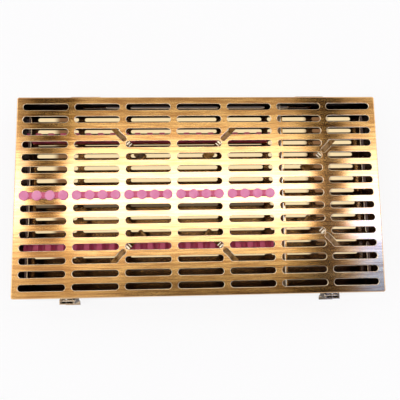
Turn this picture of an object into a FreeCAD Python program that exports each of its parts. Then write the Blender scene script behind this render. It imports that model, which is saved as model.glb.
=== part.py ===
import FreeCAD, Part
import math
import os

# Instrument cassette of gold coated sheet steel: a slotted tray with silicone instrument rails,
# a slotted lid hinged at the back, and two latches at the front.
# Millimetres. +X to the right, +Y to the hinges, +Z up, standing on z = 0.

V = FreeCAD.Vector

# Lid plate, as seen from above
lidWidth = 350.0
lidDepth = 191.0
lidTop = 31.75
skirtHeight = 14.0
sheet = 0.9
cornerRadius = 2.2
bendRadius = 1.6

# Slot pattern
slotColumns = 7
columnWeb = 6.0
sideMargin = 6.5
slotWidth = 6.1
lidRows = 15
lidEdgeMargin = 7.1
trayRows = 14
traySlotLength = 42.5
traySlotWidth = 4.0
trayEdgeMargin = 7.7
trayColumnShift = -1.5
trayRowShift = -1.2
endSides = 3

# Tray inside the lid skirt
skirtGap = 0.6
rimGap = 0.3
wallSlotLow = 4.6
sideSlots = 4
sideSlotWeb = 9.0
sideSlotMargin = 10.0

# Silicone rails in steel channels
instrumentColumns = 5
instrumentsPerSlot = 4
headInset = 3.3
channelSheet = 0.8
channelHeight = 4.5
railThickness = 7.0
railHeight = 17.8
railEnd = 2.0
notchWidth = 6.6
notchDepth = 9.0
rearRailInset = 33.1
frontRailInset = 43.6
arcSides = 4

# Divider between instruments and accessories
dividerOffset = 8.0
dividerHeight = 23.0
dividerFlange = 9.0
dividerWindows = 3
dividerWindowHeight = 8.0
dividerWeb = 14.0
dividerEndGap = 0.5

# Silicone hold-down strip in the middle slot row
stripWidth = 8.6
stripHeight = 5.6
scallopDepth = 2.6
scallopEdge = 1.0
stemGap = 0.1
stemRoot = 1.0
bridgeRise = 0.6
headRadius = 4.7
headHeight = 1.7
headSides = 16

# Diagonal spring clips
clipOut = 1.5
clipWidth = 4.4
clipSheet = 0.7
clipSide = 0.3
windowLength = 12.6
clipFoot = 6.0
clipSink = 0.35
clipDip = 0.2
clipRise = 1.1
bridge = 2.2
ridgePitch = 2.4
ridgeHeight = 0.9
armRun = 6.0
armDrop = 5.2
paddleWidth = 9.0
paddleLength = 8.0
paddleDrop = 3.6

# Rear hinges
hingeInset = 65.0
knuckleRadius = 2.1
hingePinRadius = 1.0
pinFit = 0.05
hingeLeaf = 0.9
knuckleOff = 0.3
hingeAxisHeight = 18.0
middleKnuckle = 14.0
outerKnuckle = 7.0
knuckleGap = 0.3
lidLeafHeight = 9.0
baseLeafHeight = 10.5

# Front latches
latchInset = 50.0
latchWidth = 13.8
latchSheet = 0.9
latchPinRadius = 0.9
latchPinDrop = 5.75
bracketSheet = 0.8
bracketHeight = 7.4
bracketTop = 2.2
earRadius = 1.7
latchClear = 0.3
cheekRadius = 1.9
leverGap = 0.5
leverRise = 1.4
lipReach = 4.0
lipRadius = 4.0
lipTurn = 70.0
beadGap = 0.3
strikeSheet = 0.8
strikeHeight = 8.0
strikeLip = 1.5
strikeWidth = 9.0
strikeDrop = 1.75

# Sizes that follow
lidUnder = lidTop - sheet
lidBottom = lidTop - skirtHeight
wallOffset = sheet + skirtGap
trayWidth = lidWidth - 2 * wallOffset
trayDepth = lidDepth - 2 * wallOffset
trayTop = lidUnder - rimGap
slotLength = (lidWidth - 2 * sideMargin - (slotColumns - 1) * columnWeb) / slotColumns
columnPitch = slotLength + columnWeb
rowPitch = (lidDepth - 2 * lidEdgeMargin - slotWidth) / (lidRows - 1)
trayRowPitch = (trayDepth - 2 * trayEdgeMargin - traySlotWidth) / (trayRows - 1)
innerFront = -trayDepth / 2 + sheet
innerRear = trayDepth / 2 - sheet
rearRailY = innerRear - rearRailInset
frontRailY = innerFront + frontRailInset
windowWidth = clipWidth + 2 * clipSide
headPitch = (slotLength - 2 * headInset) / (instrumentsPerSlot - 1)
hingeAxisY = lidDepth / 2 + knuckleOff + knuckleRadius
latchPinY = -lidDepth / 2 - bracketSheet - latchClear - cheekRadius
latchPinZ = lidTop - latchPinDrop
leverInner = latchPinY - earRadius - leverGap
leverOuter = leverInner - latchSheet
frontReach = leverOuter - lipReach
rearReach = hingeAxisY + knuckleRadius
originShift = V(0, -(frontReach + rearReach) / 2, 0)
through = 4 * sheet
pieces = {}


def columnX(column):
    return (column - (slotColumns - 1) / 2) * columnPitch


def rowY(row):
    return ((lidRows - 1) / 2 - row) * rowPitch


def box(x0, x1, y0, y1, z0, z1):
    return Part.makeBox(x1 - x0, y1 - y0, z1 - z0, V(x0, y0, z0))


def cylinderX(radius, x0, x1, y, z):
    return Part.makeCylinder(radius, x1 - x0, V(x0, y, z), V(1, 0, 0))


def arcPoints(cx, cy, radius, start, end, sides):
    angles = [math.radians(start + (end - start) * i / sides) for i in range(sides + 1)]
    return [(cx + radius * math.cos(a), cy + radius * math.sin(a)) for a in angles]


def slotPoints(length, width, sides):
    reach = (length - width) / 2
    right = arcPoints(reach, 0, width / 2, -90, 90, sides)
    left = arcPoints(-reach, 0, width / 2, 90, 270, sides)
    return right + left


def prism(points, place, along):
    corners = [place(a, b) for a, b in points]
    return Part.Face(Part.makePolygon(corners + corners[:1])).extrude(along)


def slotDown(cx, cy, z, length, width, sides, turn=0):
    """A round ended slot cutter through a flat sheet whose middle is at height z."""
    cutter = prism(slotPoints(length, width, sides), lambda a, b: V(a, b, 0), V(0, 0, 2 * through))
    cutter.rotate(V(0, 0, 0), V(0, 0, 1), turn)
    cutter.translate(V(cx, cy, z - through))
    return cutter


def ribbon(path, thickness):
    """Outline of a bent sheet: the path is its top face, the thickness goes below it."""
    under = []
    for i, (a, b) in enumerate(path):
        before = path[max(i - 1, 0)]
        after = path[min(i + 1, len(path) - 1)]
        da, db = after[0] - before[0], after[1] - before[1]
        size = math.hypot(da, db)
        under.append((a + thickness * db / size, b - thickness * da / size))
    return path + under[::-1]


def pan(width, depth, z0, z1, openBelow):
    """A pressed sheet pan with bent edges, open below for the lid and above for the tray."""
    block = box(-width / 2, width / 2, -depth / 2, depth / 2, z0, z1)
    upright = [e for e in block.Edges if abs(e.Vertexes[0].Z - e.Vertexes[1].Z) > sheet]
    block = block.makeFillet(cornerRadius, upright)
    flatZ = z1 if openBelow else z0
    rim = [e for e in block.Edges if all(abs(v.Z - flatZ) < sheet / 10 for v in e.Vertexes)]
    block = block.makeFillet(bendRadius, rim)
    inner = box(-width / 2 + sheet, width / 2 - sheet, -depth / 2 + sheet, depth / 2 - sheet,
                z0 - (sheet if openBelow else -sheet), z1 - (sheet if openBelow else -sheet))
    edges = [e for e in inner.Edges if abs(e.Vertexes[0].Z - e.Vertexes[1].Z) > sheet]
    inner = inner.makeFillet(cornerRadius - sheet, edges)
    return block.cut(inner)


def makeLid():
    lid = pan(lidWidth, lidDepth, lidBottom, lidTop, True)
    middle = lidTop - sheet / 2
    slots = [slotDown(columnX(c), rowY(r), middle, slotLength, slotWidth, endSides)
             for c in range(slotColumns) for r in range(lidRows)]
    lid = lid.cut(Part.makeCompound(slots))
    windows = [slotDown(x, y, middle, windowLength, windowWidth, endSides, turn)
               for x, y, turn in clipSpots()]
    return lid.cut(Part.makeCompound(windows))


def clipSpots():
    """Centre of each clip window and the direction in which its arm points, in degrees."""
    spots = []
    for web, gap, side in ((2, 2, -1), (4, 2, 1), (6, 3, 1)):
        x = (columnX(web - 1) + columnX(web)) / 2 + side * clipOut
        y = (rowY(gap) + rowY(gap + 1)) / 2 + clipOut
        inward = -45 if side < 0 else -135
        spots.append((x, y, inward))
        spots.append((x, -y, -inward))
    return spots


def makeTray():
    tray = pan(trayWidth, trayDepth, 0, trayTop, False)
    rows = [((trayRows - 1) / 2 - r) * trayRowPitch + trayRowShift for r in range(trayRows)]
    columns = [(c - (slotColumns - 1) / 2) * (traySlotLength + columnWeb) + trayColumnShift
               for c in range(slotColumns)]
    slots = [slotDown(x, y, sheet / 2, traySlotLength, traySlotWidth, endSides) for x in columns for y in rows]
    wallZ = wallSlotLow + slotWidth / 2
    shape = slotPoints(slotLength, slotWidth, endSides)
    for c in range(1, slotColumns - 1):
        x = columnX(c)
        slots.append(prism(shape, lambda a, b: V(x + a, innerFront + sheet, wallZ + b), V(0, -through, 0)))
        slots.append(prism(shape, lambda a, b: V(x + a, innerRear - sheet, wallZ + b), V(0, through, 0)))
    sideLength = (trayDepth - 2 * sideSlotMargin - (sideSlots - 1) * sideSlotWeb) / sideSlots
    shape = slotPoints(sideLength, slotWidth, endSides)
    for i in range(sideSlots):
        y = (i - (sideSlots - 1) / 2) * (sideLength + sideSlotWeb)
        x = trayWidth / 2 - 2 * sheet
        slots.append(prism(shape, lambda a, b: V(x, y + a, wallZ + b), V(through, 0, 0)))
        slots.append(prism(shape, lambda a, b: V(-x, y + a, wallZ + b), V(-through, 0, 0)))
    return tray.cut(Part.makeCompound(slots))


def instrumentXs():
    first = -slotLength / 2 + headInset
    return [columnX(c) + first + i * headPitch
            for c in range(instrumentColumns) for i in range(instrumentsPerSlot)]


def railSpan():
    half = slotLength / 2 + railEnd
    return columnX(0) - half, columnX(instrumentColumns - 1) + half


def makeRail(y):
    """A silicone comb with one round bottomed notch for each instrument."""
    x0, x1 = railSpan()
    z0 = sheet + channelSheet
    z1 = z0 + railHeight
    radius = notchWidth / 2
    outline = [(x0, z1), (x0, z0), (x1, z0), (x1, z1)]
    for x in reversed(instrumentXs()):
        outline.append((x + radius, z1))
        outline += arcPoints(x, z1 - notchDepth + radius, radius, 0, -180, arcSides)
        outline.append((x - radius, z1))
    return prism(outline, lambda a, b: V(a, y - railThickness / 2, b), V(0, railThickness, 0))


def makeChannel(y):
    x0, x1 = railSpan()
    half = railThickness / 2 + channelSheet
    outer = box(x0, x1, y - half, y + half, sheet, sheet + channelHeight)
    inner = box(x0, x1, y - railThickness / 2, y + railThickness / 2,
                sheet + channelSheet, sheet + channelHeight)
    return outer.cut(inner)


def makeDivider():
    """An angle of sheet on the tray floor, its upright cut by long windows."""
    x = (columnX(instrumentColumns - 1) + columnX(instrumentColumns)) / 2 + dividerOffset
    y0 = innerFront + dividerEndGap
    y1 = innerRear - dividerEndGap
    path = [(x + dividerFlange, 2 * sheet), (x + sheet, 2 * sheet), (x + sheet, sheet + dividerHeight),
            (x, sheet + dividerHeight), (x, sheet), (x + dividerFlange, sheet)]
    divider = prism(path, lambda a, b: V(a, y0, b), V(0, y1 - y0, 0))
    length = (y1 - y0 - (dividerWindows + 1) * dividerWeb) / dividerWindows
    shape = slotPoints(length, dividerWindowHeight, endSides)
    z = sheet + dividerHeight / 2
    for i in range(dividerWindows):
        y = (y0 + y1) / 2 + (i - (dividerWindows - 1) / 2) * (length + dividerWeb)
        cutter = prism(shape, lambda a, b: V(x - sheet, y + a, z + b), V(through, 0, 0))
        divider = divider.cut(cutter)
    return divider


def makeStrip():
    """The hold-down strip under the lid, with a stem in each slot and a button over each instrument."""
    x0, x1 = railSpan()
    z0 = lidUnder - stripHeight
    half = headPitch / 2 - scallopEdge
    outline = [(x0, lidUnder), (x0, z0)]
    for x in instrumentXs():
        radius = (half ** 2 + scallopDepth ** 2) / (2 * scallopDepth)
        sweep = math.degrees(math.asin(half / radius))
        outline += arcPoints(x, z0 + scallopDepth - radius, radius, 90 + sweep, 90 - sweep, arcSides)
    outline += [(x1, z0), (x1, lidUnder)]
    strip = prism(outline, lambda a, b: V(a, -stripWidth / 2, b), V(0, stripWidth, 0))
    stem = slotPoints(slotLength - 2 * stemGap, slotWidth - 2 * stemGap, endSides)
    solids = []
    for c in range(instrumentColumns):
        x = columnX(c)
        foot = lidUnder - stemRoot
        solids.append(prism(stem, lambda a, b: V(x + a, b, foot), V(0, 0, stemRoot + sheet + bridgeRise)))
    turn = 360 / headSides
    shape = arcPoints(0, 0, headRadius, turn / 2, 360 - turn / 2, headSides - 1)
    for x in instrumentXs():
        solids.append(prism(shape, lambda a, b: V(x + a, b, lidTop), V(0, 0, headHeight)))
    return strip.multiFuse(solids).removeSplitter()


def makeClip(x, y, turn):
    """A spring strap through its diagonal window, ridged, with a broad pressing paddle at the end."""
    flat = (windowLength - windowWidth) / 2
    under = lidUnder - clipDip
    level = lidTop - clipSink
    path = [(-windowLength / 2 - clipFoot, lidUnder), (-flat - clipRise, lidUnder), (-flat, level),
            (flat, level), (flat + clipRise, under), (windowLength / 2 + bridge, under)]
    start = path[-1][0]
    for i in range(2):
        path.append((start + (i + 0.5) * ridgePitch, under + ridgeHeight))
        path.append((start + (i + 1) * ridgePitch, under - ridgeHeight))
    a, b = path[-1]
    elbow = (a + armRun, b - armDrop)
    tip = (elbow[0] + paddleLength, elbow[1] - paddleDrop)
    lip = (tip[0] + 2 * clipSheet, tip[1] + clipSheet)
    outline = ribbon(path + [elbow, tip, lip], clipSheet)
    strap, paddle = [prism(outline, lambda u, z: V(u, -w / 2, z), V(0, w, 0)) for w in (clipWidth, paddleWidth)]
    paddle = paddle.common(box(elbow[0], lip[0] + clipSheet, -paddleWidth, paddleWidth, 0, lidTop))
    clip = strap.fuse(paddle).removeSplitter()
    clip.rotate(V(0, 0, 0), V(0, 0, 1), turn)
    clip.translate(V(x, y, 0))
    return clip


def knuckle(x0, x1):
    bore = hingePinRadius + pinFit
    outer = cylinderX(knuckleRadius, x0, x1, hingeAxisY, hingeAxisHeight)
    return outer, cylinderX(bore, x0, x1, hingeAxisY, hingeAxisHeight)


def makeLidLeaf(x):
    half = middleKnuckle / 2
    rear = lidDepth / 2
    outer, bore = knuckle(x - half, x + half)
    z0 = hingeAxisHeight
    wide = half + outerKnuckle
    z1 = z0 + knuckleRadius + knuckleGap
    leaf = box(x - wide, x + wide, rear, rear + hingeLeaf, z1, z1 + lidLeafHeight)
    neck = box(x - half, x + half, rear, rear + hingeLeaf, z0, z1)
    return leaf.multiFuse([neck, outer]).cut(bore).removeSplitter()


def makeBaseLeaf(x):
    """The tray half of a hinge: a plate on the rear wall, cranked out to the two outer knuckles."""
    inner = middleKnuckle / 2 + knuckleGap
    wide = inner + outerKnuckle
    wall = trayDepth / 2
    z1 = hingeAxisHeight - knuckleRadius - knuckleGap
    z0 = z1 - baseLeafHeight
    leaf = box(x - wide, x + wide, wall, wall + hingeLeaf, z0, z1)
    arms = []
    bores = []
    crank = [(wall, z1 - hingeLeaf), (wall + hingeLeaf, z1 - 2 * hingeLeaf), (hingeAxisY, z1 - hingeLeaf),
             (hingeAxisY + knuckleRadius, hingeAxisHeight), (hingeAxisY, hingeAxisHeight), (wall + hingeLeaf, z1)]
    for side in (-1, 1):
        a, b = sorted((x + side * inner, x + side * wide))
        outer, bore = knuckle(a, b)
        arms.append(prism(crank, lambda u, z: V(a, u, z), V(b - a, 0, 0)).fuse(outer))
        bores.append(bore)
    return leaf.multiFuse(arms).cut(Part.makeCompound(bores)).removeSplitter()


def makeHingePin(x):
    half = middleKnuckle / 2 + knuckleGap + outerKnuckle
    return cylinderX(hingePinRadius, x - half, x + half, hingeAxisY, hingeAxisHeight)


def makeBracket(x):
    """A back plate on the lid skirt with two ears that carry the latch pin."""
    back = -lidDepth / 2
    half = latchWidth / 2 - latchSheet - latchClear
    top = lidTop - bracketTop
    plate = box(x - half, x + half, back - bracketSheet, back, top - bracketHeight, top)
    ears = []
    for side in (-1, 1):
        a, b = sorted((x + side * half, x + side * (half - bracketSheet)))
        ears.append(cylinderX(earRadius, a, b, latchPinY, latchPinZ))
        ears.append(box(a, b, latchPinY, back - bracketSheet, latchPinZ - earRadius, latchPinZ + earRadius))
    bore = cylinderX(latchPinRadius, x - half, x + half, latchPinY, latchPinZ)
    return plate.multiFuse(ears).cut(bore).removeSplitter()


def makeLatchPin(x):
    half = latchWidth / 2
    return cylinderX(latchPinRadius, x - half, x + half, latchPinY, latchPinZ)


def makeLatch(x):
    """A channel shaped lever on the pin, with a snap bead below the strike and a lip for the finger."""
    half = latchWidth / 2
    top = latchPinZ + leverRise
    beadTop = strikeZ() - strikeSheet - beadGap
    knee = beadTop - latchSheet
    face = [(leverInner, top), (leverInner, knee)]
    face += arcPoints(leverInner - lipRadius, knee, lipRadius, 0, -lipTurn, arcSides)[1:]
    face.append((frontReach, face[-1][1] - latchSheet / 2))
    plate = prism(ribbon(face, latchSheet), lambda u, z: V(x - half, u, z), V(latchWidth, 0, 0))
    reach = -trayDepth / 2 - strikeSheet - strikeLip - latchClear
    bead = box(x - strikeWidth / 2, x + strikeWidth / 2, leverInner, reach, knee, beadTop)
    parts = [bead]
    bores = []
    for side in (-1, 1):
        a, b = sorted((x + side * half, x + side * (half - latchSheet)))
        cheek = [(leverInner, latchPinZ), (leverInner, knee), (latchPinY + cheekRadius, beadTop),
                 (latchPinY + cheekRadius, latchPinZ)]
        parts.append(prism(cheek, lambda u, z: V(a, u, z), V(b - a, 0, 0)))
        parts.append(box(a, b, leverInner, latchPinY, latchPinZ, top))
        parts.append(cylinderX(cheekRadius, a, b, latchPinY, latchPinZ))
        bores.append(cylinderX(latchPinRadius + pinFit, a, b, latchPinY, latchPinZ))
    return plate.multiFuse(parts).cut(Part.makeCompound(bores)).removeSplitter()


def strikeZ():
    return lidBottom - strikeDrop


def makeStrike(x):
    """An angle on the tray wall whose lip the latch bead snaps under."""
    wall = -trayDepth / 2
    half = strikeWidth / 2
    top = strikeZ()
    plate = box(x - half, x + half, wall - strikeSheet, wall, top - strikeHeight, top)
    lip = box(x - half, x + half, wall - strikeSheet - strikeLip, wall, top - strikeSheet, top)
    return plate.fuse(lip).removeSplitter()


pieces["base_tray"] = makeTray()
pieces["rail_channel_rear"] = makeChannel(rearRailY)
pieces["rail_channel_front"] = makeChannel(frontRailY)
pieces["rail_rear"] = makeRail(rearRailY)
pieces["rail_front"] = makeRail(frontRailY)
pieces["divider"] = makeDivider()
pieces["lid_shell"] = makeLid()
pieces["holddown_strip"] = makeStrip()
for number, spot in enumerate(clipSpots(), 1):
    pieces["spring_clip_%d" % number] = makeClip(*spot)
for name, side in (("left", -1), ("right", 1)):
    hingeX = side * (lidWidth / 2 - hingeInset)
    latchX = side * (lidWidth / 2 - latchInset)
    pieces["hinge_base_" + name] = makeBaseLeaf(hingeX)
    pieces["hinge_lid_" + name] = makeLidLeaf(hingeX)
    pieces["hinge_pin_" + name] = makeHingePin(hingeX)
    pieces["latch_bracket_" + name] = makeBracket(latchX)
    pieces["latch_pin_" + name] = makeLatchPin(latchX)
    pieces["latch_" + name] = makeLatch(latchX)
    pieces["strike_" + name] = makeStrike(latchX)

os.makedirs("parts", exist_ok=True)
for name, shape in pieces.items():
    solid = shape.Solids[0] if len(shape.Solids) == 1 else shape
    placed = solid.copy()
    placed.translate(originShift)
    placed.exportStep("parts/%s.step" % name)
print("pieces", len(pieces))
print("lid hinge axis y z", round(hingeAxisY + originShift.y, 4), hingeAxisHeight)
print("latch pin y z", round(latchPinY + originShift.y, 4), round(latchPinZ, 4))
print("latch x", lidWidth / 2 - latchInset)
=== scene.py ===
import bmesh
import bpy
import math
from mathutils import Matrix, Vector
from mathutils.geometry import delaunay_2d_cdt


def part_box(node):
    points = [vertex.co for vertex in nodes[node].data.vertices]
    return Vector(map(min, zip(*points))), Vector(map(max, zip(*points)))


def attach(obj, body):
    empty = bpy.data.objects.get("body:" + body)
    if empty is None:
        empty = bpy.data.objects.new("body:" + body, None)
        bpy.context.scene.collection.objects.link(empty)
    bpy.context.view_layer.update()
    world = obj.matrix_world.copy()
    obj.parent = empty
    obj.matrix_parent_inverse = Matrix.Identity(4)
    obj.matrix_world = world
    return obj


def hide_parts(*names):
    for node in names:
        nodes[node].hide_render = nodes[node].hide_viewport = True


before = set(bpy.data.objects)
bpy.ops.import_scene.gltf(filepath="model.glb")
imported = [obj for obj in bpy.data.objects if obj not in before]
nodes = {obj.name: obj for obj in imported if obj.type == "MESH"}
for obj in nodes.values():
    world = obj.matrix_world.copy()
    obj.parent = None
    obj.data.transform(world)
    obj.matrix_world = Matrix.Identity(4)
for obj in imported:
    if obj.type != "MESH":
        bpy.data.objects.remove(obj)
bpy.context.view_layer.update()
mm = 0.001

# lengths below are in millimetres, from the middle of the lid; this moves them into the frame
lidLow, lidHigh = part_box("lid_shell")
lidMiddle = ((lidLow.x + lidHigh.x) / 2, (lidLow.y + lidHigh.y) / 2, 0)
toFrame = Matrix.Translation(lidMiddle) @ Matrix.Scale(mm, 4)

cameraView = {
    "place": (-0.01024, -0.03022, 0.34315),
    "turn": (4.971, -1.786, -0.851),   # degrees
    "lens": 29.574,
    "sensor": 36,
    "nearest": 0.01,
}


def addCamera():
    data = bpy.data.cameras.new("viewFromAbove")
    data.lens = cameraView["lens"]
    data.sensor_width = cameraView["sensor"]
    data.clip_start = cameraView["nearest"]
    eye = bpy.data.objects.new("viewFromAbove", data)
    eye.location = cameraView["place"]
    eye.rotation_euler = [math.radians(a) for a in cameraView["turn"]]
    bpy.context.scene.collection.objects.link(eye)
    bpy.context.scene.camera = eye


addCamera()
print("camera set")


def newMaterial(name):
    material = bpy.data.materials.new(name)
    material.use_nodes = True
    tree = material.node_tree
    return material, tree, tree.nodes["Principled BSDF"]


def addNode(tree, kind, **values):
    node = tree.nodes.new(kind)
    for key, value in values.items():
        setattr(node, key, value)
    return node


def feed(tree, socket, value):
    if hasattr(value, "is_linked"):
        tree.links.new(value, socket)
    else:
        socket.default_value = value


def sums(tree, operation, a, b=0.0, c=0.0):
    node = addNode(tree, "ShaderNodeMath", operation=operation)
    for socket, value in zip(node.inputs, (a, b, c)):
        feed(tree, socket, value)
    return node.outputs[0]


def times(tree, a, b):
    return sums(tree, "MULTIPLY", a, b)


def lessen(tree, level, share, depth):
    # takes off that depth of the level where the share is 1
    return times(tree, level, sums(tree, "MULTIPLY_ADD", share, -depth, 1.0))


def ramp(tree, value, low, high, toLow=0.0, toHigh=1.0):
    node = addNode(tree, "ShaderNodeMapRange", interpolation_type="SMOOTHSTEP")
    names = ("Value", "From Min", "From Max", "To Min", "To Max")
    for name, v in zip(names, (value, low, high, toLow, toHigh)):
        feed(tree, node.inputs[name], v)
    return node.outputs[0]


def fade(tree, value, full, gone):
    return ramp(tree, value, full, gone, 1.0, 0.0)


def band(tree, value, edges):
    # rises between the first two edges and falls between the last two
    return times(tree, ramp(tree, value, edges[0], edges[1]), fade(tree, value, edges[2], edges[3]))


def mixColours(tree, factor, a, b):
    node = addNode(tree, "ShaderNodeMix", data_type="RGBA")
    feed(tree, node.inputs[0], factor)
    feed(tree, node.inputs[6], a)
    feed(tree, node.inputs[7], b)
    return node.outputs[2]


def placeOf(tree, kind="Object"):
    return addNode(tree, "ShaderNodeTexCoord").outputs[kind]


# each point's share of rubbed wear, painted highlight and painted shade, as its material uses it
def wearAndPaintedLightOf(tree):
    return addNode(tree, "ShaderNodeAttribute", attribute_name="edgeWearAndPaintedLight").outputs["Fac"]


def axes(tree, vector):
    split = addNode(tree, "ShaderNodeSeparateXYZ")
    tree.links.new(vector, split.inputs[0])
    return split.outputs


def facingOf(tree, kind):
    return axes(tree, addNode(tree, "ShaderNodeNewGeometry").outputs[kind])


def grainNoise(tree, where, stretch, scale, detail, rough):
    mapping = addNode(tree, "ShaderNodeMapping")
    mapping.inputs["Scale"].default_value = stretch
    tree.links.new(where, mapping.inputs["Vector"])
    noise = addNode(tree, "ShaderNodeTexNoise")
    noise.inputs["Scale"].default_value = scale
    noise.inputs["Detail"].default_value = detail
    noise.inputs["Roughness"].default_value = rough
    tree.links.new(mapping.outputs[0], noise.inputs["Vector"])
    return noise.outputs["Fac"]


def cloudNoise(tree, scale, detail, rough):
    return grainNoise(tree, placeOf(tree), (1, 1, 1), scale, detail, rough)


def addBump(tree, shader, height, strength, distance):
    bump = addNode(tree, "ShaderNodeBump")
    bump.inputs["Strength"].default_value = strength
    bump.inputs["Distance"].default_value = distance
    tree.links.new(height, bump.inputs["Height"])
    tree.links.new(bump.outputs[0], shader.inputs["Normal"])


goldFinish = {
    "colour": (0.90, 0.52, 0.165, 1),
    "deepColour": (0.60, 0.27, 0.055, 1),      # in the grain
    "wornAndHighlightColour": (1.0, 0.87, 0.64, 1),        # on cut edges and bends: pale rubbed wear and a painted highlight
    "latchColour": (0.74, 0.60, 0.44, 1),
    "latchDeep": (0.52, 0.40, 0.28, 1),
    "shadeColour": (0.032, 0.013, 0.006, 1),   # deep inside, where the closed lid leaves no light
    "grainTurn": 0.25,
    # stretch along and across, detail, roughness and share of each layer of the grain
    "grainLayers": [((5, 90, 1), 2.0, 0.5, 0.2), ((18, 1500, 1), 4.0, 0.65, 0.4), ((34, 400, 1), 3.0, 0.6, 0.4)],
    "grainRange": (0.42, 0.57),
    "wallGrainRange": (0.30, 0.70),            # calmer on the walls
    "flatFrom": (0.3, 0.8),                    # how far a face looks up where the walls end
    "grainDepth": 0.14,
    "grainHeight": 0.0001,
    "grainRoughness": 0.12,
    "spots": (60.0, 4.0, 0.6),                 # scale, detail and roughness
    "spotWearAndHighlight": (0.30, 0.62, 0.55),
    "spotRange": (0.55, 0.75),
    "spotRoughness": 0.03,
    "wornRoughness": 0.30,
    "coatRoughness": 0.07,
    "coatStrength": 1.95,                      # index of the hard clear skin over the gold
    "coatOnWalls": 0.15,
}
underLid = {
    "reach": 0.1,                   # how far a point looks for what stands over it, in metres
    "openFrom": (0.42, 0.72),
    "outerFaces": (0.104, 0.056),   # faces turned outwards and further out than this see the room
    "underside": -0.6,
    "samples": 8,
}
middleY = 0.0028   # of the closed part, in metres from the frame's origin


def openSky(tree):
    # 1 where a surface of the base is open to the light, 0 under the closed lid
    u = underLid
    nearby = addNode(tree, "ShaderNodeAmbientOcclusion", samples=u["samples"])
    nearby.inputs["Distance"].default_value = u["reach"]
    place, facing = axes(tree, placeOf(tree)), facingOf(tree, "Normal")
    sideways = times(tree, place[0], facing[0])
    endways = times(tree, sums(tree, "SUBTRACT", place[1], middleY), facing[1])
    outside = sums(tree, "MAXIMUM", sums(tree, "GREATER_THAN", sideways, u["outerFaces"][0]),
                   sums(tree, "GREATER_THAN", endways, u["outerFaces"][1]))
    outside = sums(tree, "MAXIMUM", outside, sums(tree, "LESS_THAN", facing[2], u["underside"]))
    return sums(tree, "MAXIMUM", outside, ramp(tree, nearby.outputs["AO"], *u["openFrom"]))


def makeGold(name, roughness, anisotropy, shaded=False, colours=("colour", "deepColour")):
    g = goldFinish
    material, tree, shader = newMaterial(name)
    grainPlace = placeOf(tree, "UV")
    streak = 0.0
    for stretch, detail, rough, share in g["grainLayers"]:
        layer = grainNoise(tree, grainPlace, stretch, 1.0, detail, rough)
        streak = sums(tree, "MULTIPLY_ADD", layer, share, streak)
    spots = cloudNoise(tree, *g["spots"])
    flat = ramp(tree, sums(tree, "ABSOLUTE", facingOf(tree, "True Normal")[2]), *g["flatFrom"])
    grain = mixColours(tree, flat, ramp(tree, streak, *g["wallGrainRange"]), ramp(tree, streak, *g["grainRange"]))
    tone = mixColours(tree, grain, g[colours[1]], g[colours[0]])
    wear = wearAndPaintedLightOf(tree)
    # pale rubbed wear and a painted highlight on cut edges and bends, in random spots
    tone = mixColours(tree, times(tree, wear, ramp(tree, spots, *g["spotWearAndHighlight"])), tone, g["wornAndHighlightColour"])
    if shaded:
        tone = mixColours(tree, openSky(tree), g["shadeColour"], tone)
    tree.links.new(tone, shader.inputs["Base Color"])
    shader.inputs["Metallic"].default_value = 1.0
    rough = sums(tree, "MULTIPLY_ADD", sums(tree, "SUBTRACT", streak, 0.5), g["grainRoughness"], roughness)
    rough = sums(tree, "MULTIPLY_ADD", ramp(tree, spots, *g["spotRange"]), g["spotRoughness"], rough)
    rough = sums(tree, "MULTIPLY_ADD", wear, g["wornRoughness"], rough)
    tree.links.new(rough, shader.inputs["Roughness"])
    shader.inputs["Anisotropic"].default_value = anisotropy
    shader.inputs["Anisotropic Rotation"].default_value = g["grainTurn"]
    if shaded:
        shader.inputs["Coat Weight"].default_value = 0.0
    else:
        tree.links.new(ramp(tree, flat, 0.0, 1.0, g["coatOnWalls"], 1.0), shader.inputs["Coat Weight"])
    shader.inputs["Coat Roughness"].default_value = g["coatRoughness"]
    shader.inputs["Coat IOR"].default_value = g["coatStrength"]
    tangent = addNode(tree, "ShaderNodeTangent", direction_type="UV_MAP")
    tree.links.new(tangent.outputs[0], shader.inputs["Tangent"])
    addBump(tree, shader, streak, g["grainDepth"], g["grainHeight"])
    return material


brushedGold = makeGold("brushedGold", roughness=0.15, anisotropy=0.82)
pressedGold = makeGold("pressedGold", roughness=0.22, anisotropy=0.3)
trayGold = makeGold("trayGold", roughness=0.22, anisotropy=0.5, shaded=True)
latchGold = makeGold("latchGold", roughness=0.26, anisotropy=0.2, shaded=True, colours=("latchColour", "latchDeep"))

springFinish = {
    "strapColours": ((0.13, 0.062, 0.018, 1), (0.27, 0.145, 0.050, 1)),
    "pinColours": ((0.60, 0.50, 0.38, 1), (0.82, 0.70, 0.54, 1)),
    "crestHighlightColour": (0.95, 0.85, 0.66, 1),   # painted highlight on the crests of the ridges
    "cloud": (240.0, 5.0, 0.7),              # scale, detail and roughness
    "cloudRange": (0.35, 0.65),
    "roughRange": (0.3, 0.7),
    "roughness": (0.24, 0.36),
    "bump": (0.08, 0.0001),                  # strength and height
}


def makeSpringSteel(name, dullColour, colour):
    s = springFinish
    material, tree, shader = newMaterial(name)
    cloud = cloudNoise(tree, *s["cloud"])
    tone = mixColours(tree, ramp(tree, cloud, *s["cloudRange"]), dullColour, colour)
    tone = mixColours(tree, wearAndPaintedLightOf(tree), tone, s["crestHighlightColour"])
    tree.links.new(tone, shader.inputs["Base Color"])
    shader.inputs["Metallic"].default_value = 1.0
    tree.links.new(ramp(tree, cloud, *s["roughRange"], *s["roughness"]), shader.inputs["Roughness"])
    addBump(tree, shader, cloud, *s["bump"])
    return material


strapSteel = makeSpringSteel("strapSteel", *springFinish["strapColours"])
pinSteel = makeSpringSteel("pinSteel", *springFinish["pinColours"])

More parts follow.
